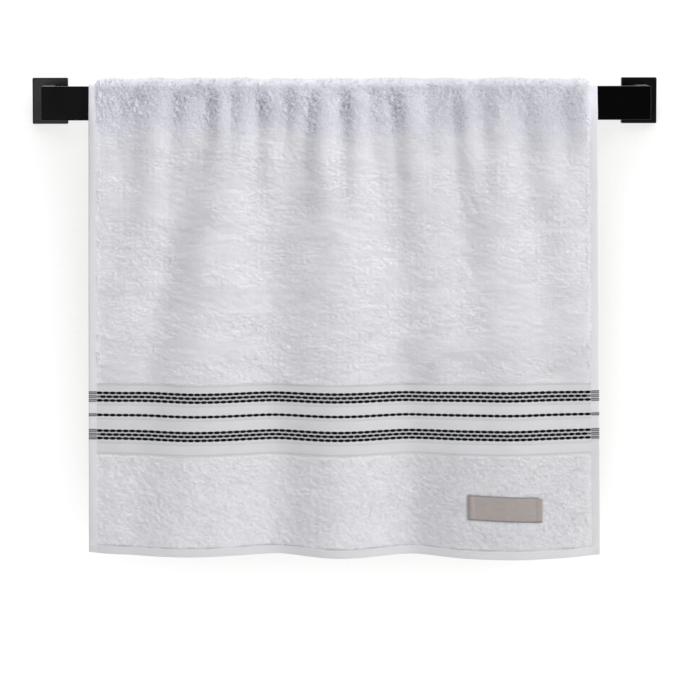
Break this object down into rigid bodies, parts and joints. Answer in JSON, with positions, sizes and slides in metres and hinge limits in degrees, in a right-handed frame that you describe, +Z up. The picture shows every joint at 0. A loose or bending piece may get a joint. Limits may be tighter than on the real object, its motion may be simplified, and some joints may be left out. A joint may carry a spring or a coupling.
{
  "type": "hand towel on a wall-mounted towel rail",
  "caption": "Terry hand towel with woven border bands and a sewn-on bare label, draped over a flat black towel rail on flat upright posts and wall plates.",
  "frame": {"origin": "centre of the left wall plate's back face, on the wall", "axes": "+X along the rail to the right as seen from the room, +Y into the wall, +Z up"},
  "size_m": [0.598, 0.0901, 0.457],
  "materials": {
    "cotton": "white cotton terry pile with flat woven selvedges, hems and black dashed border bands",
    "label_tape": "taupe woven tape with a soft satin face",
    "black_metal": "satin black powder coat"
  },
  "bodies": {
    "root": {"towel": "cotton", "label": "label_tape", "rail_bar": "black_metal", "post_left": "black_metal", "post_right": "black_metal", "wall_plate_left": "black_metal", "wall_plate_right": "black_metal"}
  },
  "joints": []
}
